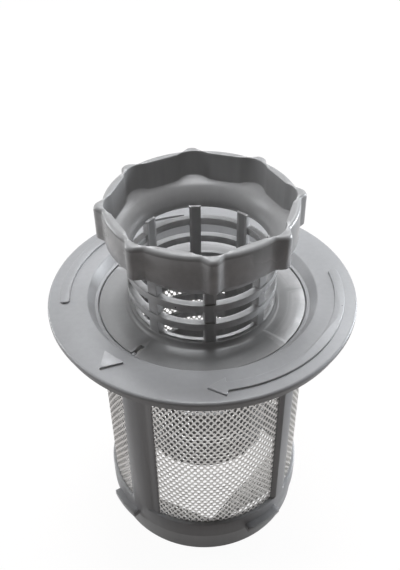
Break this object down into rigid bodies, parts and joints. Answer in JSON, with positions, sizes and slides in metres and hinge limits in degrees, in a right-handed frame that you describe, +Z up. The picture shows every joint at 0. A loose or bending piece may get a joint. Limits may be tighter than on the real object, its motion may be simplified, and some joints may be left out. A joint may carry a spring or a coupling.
{
  "type": "dishwasher filter",
  "caption": "Upright two-stage sump filter: scalloped grip ring and lattice basket that lifts out of a flanged frame with a perforated steel sleeve.",
  "frame": {"origin": "centre of the lower face of the spigot ring, on which the filter stands", "axes": "+Z up along the filter's axis towards the grip ring; -Y towards the grip lobe that faces the picture's viewer"},
  "size_m": [0.125, 0.125, 0.1653],
  "materials": {
    "coarse_plastic": "satin moulded polypropylene, mid grey",
    "frame_plastic": "satin moulded polypropylene, mid grey",
    "sleeve_steel": "bright perforated stainless sheet"
  },
  "bodies": {
    "micro_filter": {"filter_frame": "frame_plastic", "mesh_sleeve": "sleeve_steel"},
    "coarse_filter_body": {"coarse_filter": "coarse_plastic"}
  },
  "joints": [
    {"name": "lift_out", "type": "slide", "parent": "micro_filter", "child": "coarse_filter_body", "axis": [0, 0, 1], "range_m": [0, 0.09]}
  ]
}
